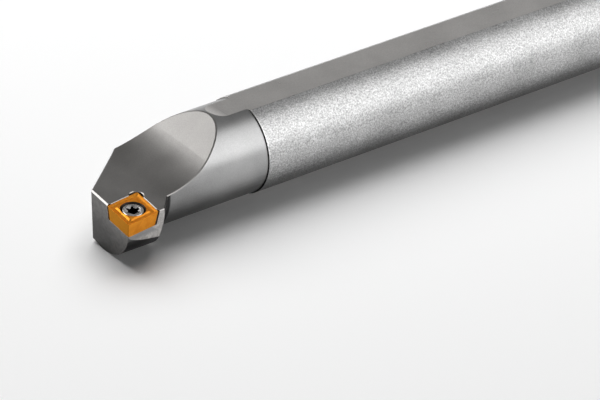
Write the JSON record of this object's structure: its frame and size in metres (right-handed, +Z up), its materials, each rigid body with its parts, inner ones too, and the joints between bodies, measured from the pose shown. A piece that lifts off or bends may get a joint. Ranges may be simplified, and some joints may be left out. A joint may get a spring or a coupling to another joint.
{
  "type": "boring bar",
  "caption": "Round steel boring bar with clamping flats, a cranked head with a swept chip pocket, and a coated rhombic indexable insert held by a countersunk screw.",
  "frame": {"origin": "on the shank's axis, where the shank reaches its full diameter behind the neck", "axes": "+X along the bar from the cutting end to the clamped end; +Z up from the rake face, square to the clamping flats; the cutting corner stands out to -Y, level with the axis"},
  "size_m": [0.25, 0.0295, 0.0251],
  "materials": {
    "bar_steel": "satin",
    "insert_coating": "thin gold orange coating, satin",
    "screw_steel": "satin"
  },
  "bodies": {
    "root": {"bar": "bar_steel", "insert": "insert_coating", "clamp_screw": "screw_steel"}
  },
  "joints": []
}
